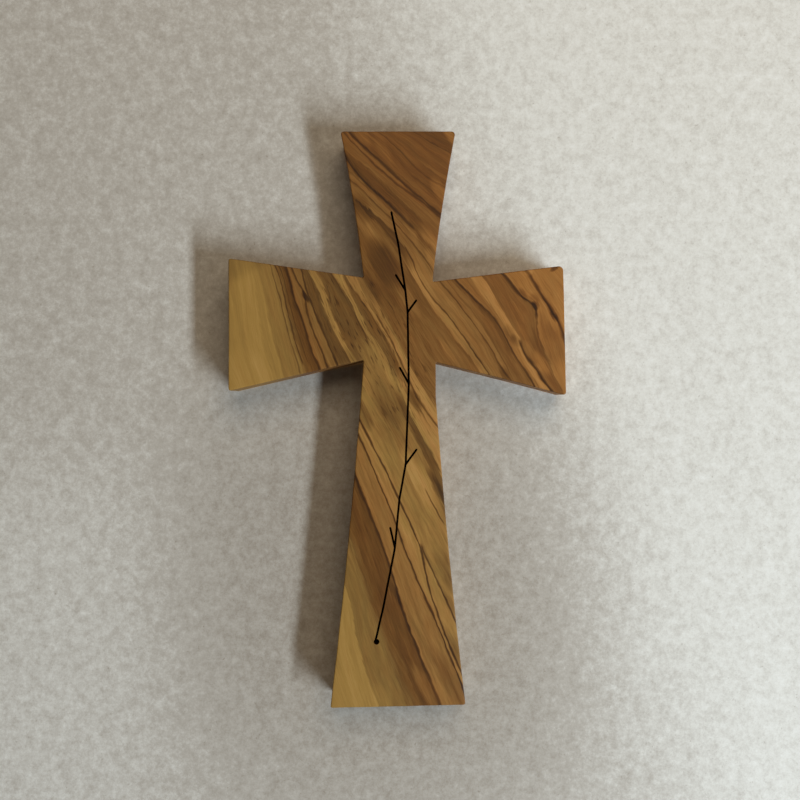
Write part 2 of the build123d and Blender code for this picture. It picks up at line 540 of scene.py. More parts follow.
def grain_noise(across, along, lengths, detail=2.0, roughness=0.5):
    """Noise about zero whose marks have these lengths across the grain, along it and in depth."""
    joined = put(wood, "ShaderNodeCombineXYZ")
    for socket, value, length in zip(joined.inputs, (across, along, depth), lengths):
        feed(wood, socket, maths(wood, "DIVIDE", value, length))
    made = put(wood, "ShaderNodeTexNoise", {
        "Vector": joined.outputs[0],
        "Scale": 1.0,
        "Detail": detail,
        "Roughness": roughness,
    })
    return maths(wood, "SUBTRACT", made.outputs[0], 0.5)


def wandering(value, reach, lengths, detail=1.0):
    """A place in the grain that wanders by up to half this reach, in marks of these lengths."""
    drift = grain_noise(straight_across, straight_along, lengths, detail)
    return maths(wood, "MULTIPLY_ADD", drift, reach, value)


# Growth lines wander across and along the grain, and the wood between them has feathered edges
across = wandering(straight_across, 0.8, (2.5, 9.0, 9.0))
across = wandering(across, 0.5, (1.5, 3.0, 6.0))
feathered = wandering(across, 2.2, (0.55, 13.0, 4.0), 3.0)
vein_swell = grain_noise(straight_across, straight_along, (4.0, 7.0, 7.0), 1.0)
vein_life = ranged(wood, vein_swell, -0.25, 0.25, 0.65, 1.35)
along = wandering(straight_along, 0.5, (2.0, 5.0, 6.0))
along_share = ranged(wood, along, *along_span, easing="LINEAR")


def on_grain(column, row):
    """A pixel of the photograph as millimetres along and across the grain."""
    x = (column - axis_column) / pixels_per_millimetre
    z = board_top - (row - top_row) / pixels_per_millimetre
    return x * cos(grain_fall) - z * sin(grain_fall), x * sin(grain_fall) + z * cos(grain_fall)


def share_of(span, value):
    """A value's place in a span, as a share."""
    return (value - span[0]) / (span[1] - span[0])


# The figure so far: the last line's points and outputs, and the flow up to it
drawn = {"line": None, "place": across_span[0], "flow": 0.0, "tone": 0.80, "tint": -1.0}
image_size = 800
all_rows = (0, image_size)


def grow(path, tone, lower_tone=None, turn=400, tint=0.0, soft=0.5, shade=0.0, shade_reach=1.5,
         vein=0.0, width=0.6, vein_tone=0.06, rows=all_rows):
    """Draws a growth line along a path, with the tone and tint of the wood beyond it.

    The tone changes to the lower one at the turn's row, and the shade darkens the wood before the line.
    A vein of this strength and width follows the line between two rows."""
    line = np.array([on_grain(column, row) for column, row in path])
    path_rows = [row for column, row in path]
    curve = put(wood, "ShaderNodeFloatCurve", {"Value": along_share})
    curve.mapping.use_clip = False
    places = [(share_of(along_span, s), share_of(across_span, t)) for s, t in line]
    points = curve.mapping.curves[0].points
    points[0].location = places[0]
    points[1].location = places[-1]
    for place in places[1:-1]:
        points.new(*place)
    curve.mapping.update()
    before = across_span[0]
    if drawn["line"] is not None:
        before = np.interp(line[:, 0], drawn["line"][:, 0], drawn["line"][:, 1])
    vein_from, vein_to = np.interp(rows, path_rows, line[:, 0])
    values = {
        "Across": across, "Feathered": feathered, "Along": along, "Traced": curve.outputs[0],
        "Last place": drawn["place"], "Last flow": drawn["flow"], "Last tone": drawn["tone"],
        "Last tint": drawn["tint"], "Gap": max(least_flow, float(np.mean(line[:, 1] - before))),
        "Tone": tone, "Lower tone": tone if lower_tone is None else lower_tone,
        "Turn": float(np.interp(turn, path_rows, line[:, 0])), "Tint": tint, "Softness": soft,
        "Shade": shade, "Shade reach": shade_reach, "Vein": vein, "Vein width": width, "Vein tone": vein_tone,
        "Vein from": along_span[0] if rows[0] < path_rows[0] else float(vein_from),
        "Vein to": along_span[1] if rows[1] > path_rows[-1] else float(vein_to),
        "Vein life": vein_life,
    }
    group = put(wood, "ShaderNodeGroup", node_tree=growth_line)
    feed_all(wood, group, values)
    drawn["line"] = line
    for name in ("Place", "Flow", "Tone", "Tint"):
        drawn[name.lower()] = group.outputs[name]


# Sapwood, at the end of the left arm and the lower left of the foot
sap_first = ((232, 262), (238, 300), (243, 340), (252, 367), (300, 520), (333, 640), (352, 705))
sap_second = ((250, 262), (256, 296), (261, 335), (269, 362), (318, 530), (338, 600), (347, 650), (362, 703))
sap_third = ((253, 263), (262, 293), (270, 332), (281, 373), (330, 545), (348, 600), (358, 650), (377, 705))
grow(sap_first, 0.87, tint=-1.0, soft=1.5)
grow(sap_second, 0.80, 0.84, tint=-1.0, vein=0.2, width=0.6, vein_tone=0.5, rows=(296, 380))
grow(sap_third, 0.70, 0.64, turn=560, tint=-0.8, soft=0.8, vein=0.35, width=0.7, vein_tone=0.95)

# The turn from sapwood to heartwood: fine lines, and the wood darkens across them
heart_first = ((270, 265), (275, 283), (280, 300), (287, 330), (297, 363), (337, 520), (361, 582), (378, 635),
               (404, 705))
heart_second = ((275, 266), (281, 283), (284, 297), (292, 330), (303, 368), (343, 520), (366, 590),
                (388, 650), (412, 705))
heart_third = ((279, 267), (284, 281), (288, 297), (296, 328), (309, 366), (350, 525), (372, 590), (397, 655),
               (420, 706))
grow(heart_first, 0.62, 0.57, tint=-0.5, soft=1.2, vein=0.6, width=0.42, vein_tone=0.15, rows=(0, 370))
grow(heart_second, 0.46, 0.48, soft=0.8, vein=0.8, width=0.42, vein_tone=0.1, rows=(0, 360))
grow(heart_third, 0.38, 0.40, tint=0.3, soft=1.0, vein=0.7, width=0.42, vein_tone=0.1, rows=(0, 360))

# The three strong veins of the left arm, which come back in the foot
vein_first = ((285, 267), (290, 283), (294, 300), (304, 327), (311, 350), (319, 368), (336, 420), (354, 472),
              (361, 492), (373, 522), (384, 552), (394, 582), (403, 613), (416, 646), (428, 677), (440, 705))
vein_second = ((291, 267), (298, 283), (304, 296), (305, 305), (311, 325), (320, 348), (326, 364), (359, 437),
               (368, 457), (381, 488), (395, 521), (405, 550), (419, 584), (435, 620), (449, 655), (463, 689))
vein_third = ((301, 269), (305, 285), (310, 300), (319, 323), (330, 348), (337, 364), (360, 420), (372, 445),
              (386, 472), (400, 502), (414, 532), (421, 552), (427, 580), (442, 627), (461, 672))
vein_branch = ((304, 269), (313, 300), (325, 330), (340, 364), (363, 419), (384, 462), (402, 501), (416, 531),
               (423, 551), (433, 572), (441, 590), (451, 611), (461, 635))
grow(vein_first, 0.62, 0.72, vein=1.0, width=0.75)
grow(vein_second, 0.62, 0.84, tint=-0.3, vein=0.9, width=0.55)
grow(vein_third, 0.42, 0.84, turn=372, tint=-0.6, vein=0.9, width=0.58)
grow(vein_branch, 0.40, 0.76, turn=372, tint=-0.6, soft=0.8, vein=0.8, width=0.58, rows=(548, 640))

# Pale streaks through smoky wood at the root of the left arm, and the bands that they become in the foot
pale_first = ((307, 270), (317, 289), (323, 308), (333, 331), (345, 352), (375, 410), (394, 443), (412, 482),
              (436, 530))
pale_first_end = ((314, 270), (324, 290), (329, 308), (338, 330), (350, 351), (380, 408), (400, 442),
                  (419, 479), (446, 527))
pale_second = ((332, 275), (341, 290), (353, 310), (362, 330), (369, 342), (376, 360), (390, 388), (405, 420),
               (414, 438), (427, 464), (436, 488), (442, 506))
pale_second_end = ((342, 275), (348, 290), (358, 310), (367, 330), (375, 341), (386, 360), (397, 384),
                   (408, 411), (420, 434), (433, 458), (443, 482))
wedge_start = ((345, 276), (352, 288), (361, 300), (370, 313), (385, 339), (398, 366), (408, 390), (418, 411),
               (440, 448))
root_brown = ((356, 277), (360, 288), (367, 302), (383, 329), (398, 356), (407, 377), (415, 394), (428, 414))
pale_third = ((364, 296), (374, 311), (389, 337), (402, 366), (408, 384), (415, 396), (422, 406), (438, 434))
pale_third_end = ((371, 295), (382, 314), (396, 340), (408, 366), (414, 376), (424, 390), (436, 408))
grow(pale_first, 0.82, 0.80, tint=-0.5, soft=0.5)
grow(pale_first_end, 0.44, 0.72, turn=347, tint=-0.5, soft=0.6, vein=0.7, width=0.5, rows=(492, 520))
grow(pale_second, 0.80, 0.42, turn=398, tint=-0.6, soft=0.7, shade=0.05, vein=0.4, width=0.7, vein_tone=0.15,
     rows=(0, 335))
grow(pale_second_end, 0.48, 0.90, turn=378, tint=-0.2, soft=0.6)
grow(wedge_start, 0.78, 0.86, turn=384, soft=0.5, vein=0.3, width=0.5, vein_tone=0.2, rows=(0, 384))
grow(root_brown, 0.50, 0.66, turn=330, soft=0.8)
grow(pale_third, 0.74, 0.92, turn=345, tint=-0.3, soft=0.6, vein=0.65, width=0.5, vein_tone=0.1,
     rows=(318, 440))
grow(pale_third_end, 0.52, 0.58, turn=335, tint=0.2, soft=0.6)

# The crossing, and the pale band and thin vein that run from the upper arm into the right arm
crossing_edge = ((366, 214), (380, 232), (392, 250), (402, 266), (411, 282), (420, 296), (436, 318),
                 (452, 340), (468, 364))
band_start = ((355, 206), (371, 218), (384, 232), (396, 248), (404, 262), (418, 287), (433, 310), (449, 331),
              (472, 362))
band_vein = ((352, 197), (362, 204), (370, 211), (386, 225), (398, 239), (411, 258), (420, 279), (431, 296),
             (442, 309), (458, 329), (474, 352), (482, 364))
band_end = ((352, 181), (362, 190), (378, 206), (394, 222), (418, 250), (440, 281), (457, 302), (474, 324),
            (489, 346), (500, 366), (509, 378))
band_echo = ((351, 173), (364, 185), (378, 198), (392, 212), (408, 230), (424, 247), (437, 264), (447, 281),
             (470, 309), (482, 325), (500, 355), (513, 380))
grow(crossing_edge, 0.45, 0.48, tint=0.2, soft=1.5)
grow(band_start, 0.26, 0.82, turn=264, soft=0.5)
grow(band_vein, 0.64, 0.70, turn=255, tint=0.2, soft=0.4, vein=0.75, width=0.42, vein_tone=0.1,
     rows=(256, 400))
grow(band_end, 0.64, 0.66, turn=270, tint=0.3, shade=0.1, vein=0.6, width=0.42, vein_tone=0.12)
grow(band_echo, 0.58, 0.63, tint=0.4, vein=0.4, width=0.38, vein_tone=0.2)

# The broad vein of the upper arm, which comes back beside the golden band of the right arm
broad_vein = ((346, 157), (355, 170), (366, 183), (379, 195), (395, 210), (409, 224), (426, 243), (435, 256),
              (454, 279), (468, 293), (482, 308), (494, 321), (501, 334), (511, 353), (522, 369), (532, 386))
broad_return = ((348, 157), (368, 183), (397, 210), (428, 243), (456, 280), (484, 308), (496, 321),
                (503, 334), (513, 353), (524, 369), (534, 386))
gold_start = ((358, 163), (376, 178), (394, 195), (410, 211), (426, 227), (440, 243), (469, 279), (486, 301),
              (500, 320), (508, 338), (516, 353), (536, 386))
gold_end = ((352, 150), (370, 165), (388, 181), (404, 195), (420, 209), (438, 226), (482, 277), (497, 301),
            (513, 329), (519, 339), (522, 349), (527, 358), (532, 364), (537, 370), (541, 377), (546, 384),
            (552, 391))
grow(broad_vein, 0.38, 0.64, turn=232, tint=0.6, soft=0.5, shade=0.12, vein=0.9, width=0.7, rows=(0, 226))
grow(broad_return, 0.38, 0.70, turn=232, tint=0.6, soft=0.5, shade=0.10, vein=0.85, width=0.55,
     rows=(276, 400))
grow(gold_start, 0.54, 0.92, turn=262, tint=0.5, soft=1.2)
grow(gold_end, 0.55, 0.60, turn=262, tint=0.8, soft=0.5, vein=0.95, width=0.85, rows=(344, 400))

# The double vein of the upper arm, and the vein with a knot in the right arm that continues it
double_first = ((345, 133), (355, 145), (371, 161), (383, 172), (404, 189), (416, 197), (427, 206),
                (438, 215), (497, 276), (512, 303), (525, 328), (536, 352), (557, 388))
double_second = ((350, 132), (360, 143), (382, 163), (403, 183), (416, 194), (440, 214), (503, 274),
                 (511, 284), (519, 294), (529, 301), (535, 307), (536, 316), (538, 335), (546, 357),
                 (558, 384))
outer_vein = ((368, 132), (383, 144), (398, 160), (412, 174), (428, 187), (442, 200), (527, 271), (534, 283),
              (540, 293), (547, 303), (554, 314), (560, 326), (564, 339))
corner_first = ((378, 132), (392, 143), (403, 154), (414, 166), (428, 177), (446, 188), (545, 268),
                (562, 292))
corner_second = ((415, 132), (422, 136), (434, 144), (447, 151), (470, 166), (560, 258))
grow(double_first, 0.62, 0.60, turn=262, tint=0.6, vein=0.75, width=0.65, vein_tone=0.14, rows=(0, 220))
grow(double_second, 0.51, 0.83, turn=250, tint=0.9, shade=0.05, vein=0.95, width=0.85, rows=(0, 312))
grow(outer_vein, 0.47, 0.84, turn=240, tint=0.9, shade=0.10, vein=0.75, width=0.95, rows=(225, 400))
grow(corner_first, 0.50, 0.82, turn=240, tint=0.9, soft=1.0, vein=0.5, width=0.45, vein_tone=0.1,
     rows=(0, 200))
grow(corner_second, 0.40, 0.76, turn=220, tint=0.9, soft=0.6, vein=0.6, width=0.5, vein_tone=0.1,
     rows=(0, 170))
past_last = maths(wood, "MAXIMUM", maths(wood, "SUBTRACT", across, drawn["place"]), 0.0)
flow = maths(wood, "ADD", drawn["flow"], past_last)

# Streaks and fibres, which follow the growth lines and are calmer in the sapwood
streak_strength = 0.34
fine_streak_strength = 0.34
fibre_strength = 0.30
tint_drift = 1.6
sapwood_calm = 0.5
fibre_marks = (0.2, 6.0, 1.5)
streaks = grain_noise(flow, along, (1.5, 28.0, 6.0))
fine_streaks = grain_noise(flow, along, (0.5, 13.0, 3.0))
fibres = grain_noise(flow, along, fibre_marks, roughness=0.6)
calm = ranged(wood, drawn["tint"], -1.0, -0.6, sapwood_calm, 1.0)
drift = maths(wood, "MULTIPLY", grain_noise(flow, along, (2.2, 11.0, 5.0)), calm)
tint = maths(wood, "MULTIPLY_ADD", drift, tint_drift, drawn["tint"])
figure = maths(wood, "MULTIPLY", fine_streaks, fine_streak_strength)
figure = maths(wood, "MULTIPLY_ADD", streaks, streak_strength, figure)
figure = maths(wood, "MULTIPLY", maths(wood, "MULTIPLY_ADD", fibres, fibre_strength, figure), calm)

# Places where the tone leaves its layer: the middle's pixel, length, breadth, and how far the tone goes
tone_patches = (
    # The first patch, on the rim at the top right corner of the upper arm, is a painted highlight where the
    # eased edge catches the light
    ((448, 131), 5.0, 1.8, 0.36),
    ((362, 135), 5.0, 2.0, 0.12),
    ((380, 143), 9.0, 2.0, 0.10),
    ((440, 192), 6.0, 2.2, 0.22),
    ((410, 226), 6.0, 1.4, 0.14),
    ((431, 258), 4.0, 1.4, 0.14),
    ((360, 206), 6.0, 3.0, -0.20),
    ((363, 222), 6.0, 2.4, 0.12),
    ((374, 234), 5.0, 1.8, 0.12),
    ((369, 286), 7.0, 2.6, -0.18),
    ((404, 256), 4.0, 1.5, 0.12),
    ((409, 302), 6.0, 2.6, 0.12),
    ((383, 262), 9.0, 4.5, -0.28),
    ((424, 287), 9.0, 2.6, 0.10),
    ((354, 356), 5.0, 3.0, -0.20),
    ((386, 290), 6.0, 3.0, -0.08),
    ((431, 248), 7.0, 2.0, 0.08),
    ((472, 356), 5.0, 2.0, -0.10),
    ((447, 350), 6.0, 1.4, 0.10),
    ((510, 333), 3.5, 1.6, -0.20),
    ((515, 340), 2.4, 1.4, -0.22),
    ((504, 373), 3.0, 1.5, -0.22),
    ((518, 362), 6.0, 1.8, 0.12),
    ((529, 350), 4.0, 1.2, 0.14),
    ((551, 308), 6.0, 1.2, -0.15),
    ((535, 305), 1.6, 1.2, -0.45),
    ((534, 298), 2.0, 1.8, -0.14),
    ((523, 294), 2.6, 1.4, -0.26),
    ((528, 271), 1.6, 1.4, 0.25),
    ((545, 325), 6.0, 2.0, -0.10),
    ((541, 362), 5.0, 1.4, 0.26),
    ((548, 345), 8.0, 6.0, -0.15),
    ((554, 268), 0.8, 1.8, -0.45),
    ((554, 316), 2.2, 1.0, -0.30),
    ((305, 296), 2.2, 1.0, -0.50),
    ((240, 258), 6.0, 16.0, -0.16),
    ((240, 374), 10.0, 8.0, 0.07),
    ((413, 399), 5.0, 1.5, -0.42),
    ((362, 414), 6.0, 2.6, -0.26),
    ((388, 402), 9.0, 4.0, -0.16),
    ((388, 427), 12.0, 4.0, -0.12),
    ((420, 480), 12.0, 3.0, 0.20),
    ((437, 487), 7.0, 1.5, -0.30),
    ((449, 575), 10.0, 3.0, -0.16),
    ((452, 606), 8.0, 1.8, -0.14),
    ((395, 592), 5.0, 1.2, -0.14),
    ((430, 650), 10.0, 2.4, -0.06),
    ((459, 655), 12.0, 2.0, -0.28),
    ((426, 688), 9.0, 2.4, 0.22),
    ((384, 698), 6.0, 3.0, 0.10),
    ((345, 690), 8.0, 6.0, 0.05),
    ((451, 682), 14.0, 3.0, -0.14),
)

# A patch ends where the squares of its shares along and across add up to this
patch_end = 1.6


def patch(middle, length, breadth, amount):
    """A soft patch with ragged sides: the amount in its middle, and 0 outside its length and breadth."""
    along_there, across_there = on_grain(*middle)
    off_along = maths(wood, "DIVIDE", maths(wood, "SUBTRACT", along, along_there), length)
    off_across = maths(wood, "DIVIDE", maths(wood, "SUBTRACT", feathered, across_there), breadth)
    squared = maths(wood, "MULTIPLY", off_across, off_across)
    squared = maths(wood, "MULTIPLY_ADD", off_along, off_along, squared)
    return ranged(wood, squared, 0.0, patch_end, amount, 0.0)


tone = drawn["tone"]
for middle, length, breadth, amount in tone_patches:
    tone = maths(wood, "ADD", tone, patch(middle, length, breadth, amount))
tone = maths(wood, "ADD", tone, figure)

# Dark flecks, close together at the crossing and the left arm's root and rare elsewhere
fleck_middle = (374, 345)
fleck_zone_length = 34.0
fleck_zone_breadth = 15.0
fleck_depth = 0.34
rare_fleck_depth = 0.03
flecks = ranged(wood, grain_noise(flow, along, (0.6, 6.0, 1.5)), 0.05, 0.20)
fleck_zone = patch(fleck_middle, fleck_zone_length, fleck_zone_breadth, fleck_depth)
fleck_zone = maths(wood, "ADD", fleck_zone, rare_fleck_depth)
tone = maths(wood, "SUBTRACT", tone, maths(wood, "MULTIPLY", flecks, fleck_zone))


def screen_colour(red, green, blue):
    """A colour as a screen shows it, 0 to 255, as the linear colour that the nodes take."""
    shares = [channel / 255 for channel in (red, green, blue)]
    linear = [share / 12.92 if share <= 0.04045 else ((share + 0.055) / 1.055) ** 2.4 for share in shares]
    return (*linear, 1.0)


def colour_ramp(tree, value, stops):
    """Colours along a value, each stop a place and a screen colour."""
    made = put(tree, "ShaderNodeValToRGB")
    feed(tree, made.inputs[0], value)
    elements = made.color_ramp.elements
    while len(elements) < len(stops):
        elements.new(0.5)
    for element, (place, colour) in zip(elements, stops):
        element.position = place
        element.color = screen_colour(*colour)
    return made.outputs[0]


def mixed(tree, share, first, second):
    """Two colours mixed by a share, on the colour sockets of a Mix node."""
    made = put(tree, "ShaderNodeMix", data_type="RGBA")
    feed(tree, made.inputs["Factor"], share)
    feed(tree, made.inputs[6], first)
    feed(tree, made.inputs[7], second)
    return made.outputs[2]


# The wood's colours by tone: brown heartwood, and the yellow and red that it turns to
brown_wood = ((0.0, (43, 23, 4)), (0.28, (79, 50, 17)), (0.47, (101, 67, 27)), (0.65, (123, 86, 41)),
              (0.85, (147, 106, 54)), (1.0, (165, 119, 64)))
yellow_wood = ((0.0, (46, 29, 9)), (0.28, (79, 55, 24)), (0.47, (101, 74, 36)), (0.65, (123, 94, 46)),
               (0.85, (148, 115, 57)), (1.0, (165, 130, 72)))
red_wood = ((0.0, (43, 22, 4)), (0.28, (79, 46, 14)), (0.47, (101, 62, 24)), (0.65, (123, 79, 34)),
            (0.85, (147, 99, 46)), (1.0, (165, 115, 60)))
colour = colour_ramp(wood, tone, brown_wood)
yellow_share = ranged(wood, tint, -1.0, 0.0, 1.0, 0.0, "LINEAR")
red_share = ranged(wood, tint, 0.0, 1.0, 0.0, 1.0, "LINEAR")
colour = mixed(wood, yellow_share, colour, colour_ramp(wood, tone, yellow_wood))
colour = mixed(wood, red_share, colour, colour_ramp(wood, tone, red_wood))

# End grain shows where a side cuts across the fibres, and is darker
end_grain_colour = screen_colour(104, 68, 36)
end_grain_share = 0.5
facing = put(wood, "ShaderNodeVectorMath", operation="DOT_PRODUCT")
feed(wood, facing.inputs[0], put(wood, "ShaderNodeTexCoord").outputs["Normal"])
feed(wood, facing.inputs[1], (cos(grain_fall), 0, -sin(grain_fall)))
across_fibres = maths(wood, "ABSOLUTE", facing.outputs["Value"])
end_grain = ranged(wood, across_fibres, 0.3, 1.0, 0.0, end_grain_share)
colour = mixed(wood, end_grain, colour, end_grain_colour)

# An oiled satin sheen over fine open grain
grain_depth = 0.04
relief = put(wood, "ShaderNodeBump", {
    "Strength": 0.35,
    "Distance": grain_depth * metres,
    "Height": grain_noise(straight_across, along, fibre_marks, roughness=0.6),
})
feed_all(wood, wood_finish, {
    "Base Color": colour,
    "Roughness": ranged(wood, fibres, -0.2, 0.2, 0.44, 0.60),
    "Specular IOR Level": 0.14,
    "Normal": relief.outputs[0],
})

# The kerf's walls are scorched by the blade, and their near-black colour is also painted shade for the deep,
# narrow slot
scorched_and_shaded_wood, scorch_and_shade, scorch_and_shade_finish = new_finish("scorched_and_shaded_wood")
scorch_and_shade_colours = ((0.3, (16, 8, 3)), (0.7, (40, 20, 8)))
blade_marks_a_metre = 900.0
blade_marks = put(scorch_and_shade, "ShaderNodeTexNoise", {
    "Vector": object_place(scorch_and_shade),
    "Scale": blade_marks_a_metre,
})
feed_all(scorch_and_shade, scorch_and_shade_finish, {
    "Base Color": colour_ramp(scorch_and_shade, blade_marks.outputs[0], scorch_and_shade_colours),
    "Roughness": 0.85,
    "Specular IOR Level": 0.0,
})
cross.data.materials.append(olive_wood)
cross.data.materials.append(scorched_and_shaded_wood)
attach(cross, "root")
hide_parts("cross_board")


# The hanger: a keyhole plate pressed from zinc-plated steel strip, let in flush behind the upper arm.
# The strip's rolling marks show across it.
plate_steel, plating, plate_finish = new_finish("plate_steel")
plate_colours = ((0.3, (150, 152, 154)), (0.7, (196, 197, 196)))
rolling_marks_a_metre = (150.0, 900.0, 4000.0)
rolled = put(plating, "ShaderNodeMapping", {
    "Vector": object_place(plating),
    "Scale": rolling_marks_a_metre,
})
rolling_marks = put(plating, "ShaderNodeTexNoise", {
    "Vector": rolled.outputs[0],
    "Scale": 1.0,
    "Detail": 3.0,
}).outputs[0]
feed_all(plating, plate_finish, {
    "Base Color": colour_ramp(plating, rolling_marks, plate_colours),
    "Roughness": ranged(plating, rolling_marks, 0.3, 0.7, 0.3, 0.48),
    "Metallic": 1.0,
})
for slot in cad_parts["keyhole_plate"].material_slots:
    slot.material = plate_steel


# The plate's two screws: countersunk wood screws of zinc-plated steel with a cross recess.
# One Geometry Nodes tree makes a screw, its thread a swept spiral, and sets one at each end of the plate.
screw_low, screw_high = [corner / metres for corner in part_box("hanger_screw_left")]
screw_sizes = {
    "Spacing": screw_spacing,
    "Height": plate_middle,
    "Length": screw_high.y - screw_low.y,
    "Head radius": 2.48,
    "Head height": 1.25,
    "Core radius": 0.85,
    "Thread depth": 0.35,
    "Thread pitch": 1.1,
    "Tip length": 2.5,
    "Recess span": 2.8,
    "Recess width": 0.7,
    "Recess depth": 1.1,
}
screw_facets = 48
screw_turn_seed = 4
screw_sharp_angle = radians(30)
screw_steel, zinc, screw_finish = new_finish("screw_steel")
screw_colours = ((0.3, (158, 152, 138)), (0.7, (196, 192, 182)))
blotches_a_metre = 1400.0
blotches = put(zinc, "ShaderNodeTexNoise", {
    "Vector": object_place(zinc),
    "Scale": blotches_a_metre,
}).outputs[0]
feed_all(zinc, screw_finish, {
    "Base Color": colour_ramp(zinc, blotches, screw_colours),
    "Roughness": ranged(zinc, blotches, 0.3, 0.7, 0.28, 0.42),
    "Metallic": 1.0,
})

screw_tree = bpy.data.node_groups.new("wood_screws", "GeometryNodeTree")
size, screws_out = group_ends(screw_tree, screw_sizes, ("Screws",), "NodeSocketGeometry")


def shape(kind, **inputs):
    """The geometry from a node, with its inputs given by name, and an underscore for a space."""
    values = {name.replace("_", " "): value for name, value in inputs.items()}
    return put(screw_tree, kind, values).outputs[0]


def triple(x, y, z):
    """Three numbers or outputs as a vector."""
    joined = put(screw_tree, "ShaderNodeCombineXYZ")
    for socket, value in zip(joined.inputs, (x, y, z)):
        feed(screw_tree, socket, value)
    return joined.outputs[0]


def moved_up(geometry, height):
    """Geometry moved along the screw."""
    return shape("GeometryNodeTransform", Geometry=geometry, Translation=triple(0, 0, height))


def less(first, second):
    """The difference of two numbers or outputs."""
    return maths(screw_tree, "SUBTRACT", first, second)


head_bottom = less(0.0, size["Head height"])
tip_end = less(0.0, size["Length"])
tip_start = maths(screw_tree, "ADD", tip_end, size["Tip length"])
core_length = less(head_bottom, tip_start)
neck_radius = maths(screw_tree, "ADD", size["Core radius"], size["Thread depth"])
head = shape("GeometryNodeMeshCone", Vertices=screw_facets, Radius_Top=size["Head radius"],
             Radius_Bottom=neck_radius, Depth=size["Head height"])
recess_height = maths(screw_tree, "MULTIPLY", size["Recess depth"], 2.0)
slots = [
    shape("GeometryNodeMeshCube", Size=triple(size["Recess span"], size["Recess width"], recess_height)),
    shape("GeometryNodeMeshCube", Size=triple(size["Recess width"], size["Recess span"], recess_height)),
]
recessed = put(screw_tree, "GeometryNodeMeshBoolean", operation="DIFFERENCE", solver="EXACT")
feed(screw_tree, recessed.inputs["Mesh 1"], moved_up(head, head_bottom))
for cutter in slots:
    feed(screw_tree, recessed.inputs["Mesh 2"], cutter)
core = shape("GeometryNodeMeshCylinder", Vertices=screw_facets, Radius=size["Core radius"], Depth=core_length)
core_middle = maths(screw_tree, "MULTIPLY_ADD", core_length, 0.5, tip_start)
tip = shape("GeometryNodeMeshCone", Vertices=screw_facets, Radius_Top=size["Core radius"],
            Radius_Bottom=0.0, Depth=size["Tip length"])
turns = maths(screw_tree, "DIVIDE", core_length, size["Thread pitch"])
spiral = shape("GeometryNodeCurveSpiral", Rotations=turns, Start_Radius=size["Core radius"],
               End_Radius=size["Core radius"], Height=core_length)
crest = shape("GeometryNodeCurvePrimitiveCircle", Resolution=3, Radius=size["Thread depth"])
thread = shape("GeometryNodeCurveToMesh", Curve=spiral, Profile_Curve=crest, Fill_Caps=True)
joined_screw = put(screw_tree, "GeometryNodeJoinGeometry")
screw_parts = (
    recessed.outputs[0],
    moved_up(core, core_middle),
    moved_up(tip, tip_end),
    moved_up(thread, tip_start),
)
for part in screw_parts:
    feed(screw_tree, joined_screw.inputs[0], part)
facing_back = put(screw_tree, "FunctionNodeEulerToRotation")
facing_back.inputs[0].default_value = (-pi / 2, 0, 0)
screw = shape("GeometryNodeTransform", Geometry=joined_screw.outputs[0], Rotation=facing_back.outputs[0])
half_spacing = maths(screw_tree, "DIVIDE", size["Spacing"], 2.0)
screw_places = shape("GeometryNodeMeshLine", Count=2, Offset=triple(size["Spacing"], 0, 0),
                     Start_Location=triple(less(0.0, half_spacing), 0, size["Height"]))
chance = put(screw_tree, "FunctionNodeRandomValue", data_type="FLOAT")
chance.inputs[3].default_value = pi / 2
chance.inputs["Seed"].default_value = screw_turn_seed
driven_home = put(screw_tree, "FunctionNodeEulerToRotation")
feed(screw_tree, driven_home.inputs[0], triple(0, chance.outputs[1], 0))
both = shape("GeometryNodeInstanceOnPoints", Points=screw_places, Instance=screw,
             Rotation=driven_home.outputs[0])
solid = shape("GeometryNodeRealizeInstances", Geometry=both)
finished = shape("GeometryNodeSetMaterial", Geometry=solid, Material=screw_steel)
feed(screw_tree, screws_out["Screws"], finished)

maker = bpy.data.objects.new("screw_maker", bpy.data.meshes.new("screw_maker"))
bpy.context.scene.collection.objects.link(maker)
making = maker.modifiers.new("wood_screws", "NODES")
making.node_group = screw_tree
for item in screw_tree.interface.items_tree:
    if item.in_out == "INPUT":
        making[item.identifier] = screw_sizes[item.name] * metres
screw_mesh = bpy.data.meshes.new_from_object(maker.evaluated_get(bpy.context.evaluated_depsgraph_get()))
bpy.data.objects.remove(maker)
screw_mesh.set_sharp_from_angle(angle=screw_sharp_angle)
screws = bpy.data.objects.new("hanger_screws", screw_mesh)
bpy.context.scene.collection.objects.link(screws)
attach(screws, "root")
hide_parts("hanger_screw_left", "hanger_screw_right")


# The backdrop behind the cross: plain and pale, finely mottled, with painted light that is brighter to the
# right, and painted shade round the cross and behind the saw kerf.
# It shows from the front alone, so that the back can be seen and lit, and it is open behind the plate,
# so that the steel reflects the room.
backdrop_gap = 0.2
backdrop_size = 6000.0
half_backdrop = backdrop_size / 2
backdrop_place = back_face + backdrop_gap
corner_signs = ((-1, -1), (1, -1), (1, 1), (-1, 1))
plate_heights = {-1: plate_low.z, 1: plate_high.z}
outer_corners = [(x * half_backdrop, backdrop_place, z * half_backdrop) for x, z in corner_signs]
open_corners = [(x * plate_high.x, backdrop_place, plate_heights[z]) for x, z in corner_signs]
backdrop_corners = [Vector(corner) * metres for corner in outer_corners + open_corners]
backdrop_sides = [(side, (side + 1) % 4, (side + 1) % 4 + 4, side + 4) for side in range(4)]
backdrop_mesh = bpy.data.meshes.new("backdrop")
backdrop_mesh.from_pydata(backdrop_corners, [], backdrop_sides)
backdrop = bpy.data.objects.new("backdrop", backdrop_mesh)
bpy.context.scene.collection.objects.link(backdrop)
pale_plaster, plaster, plaster_finish = new_finish("pale_plaster")
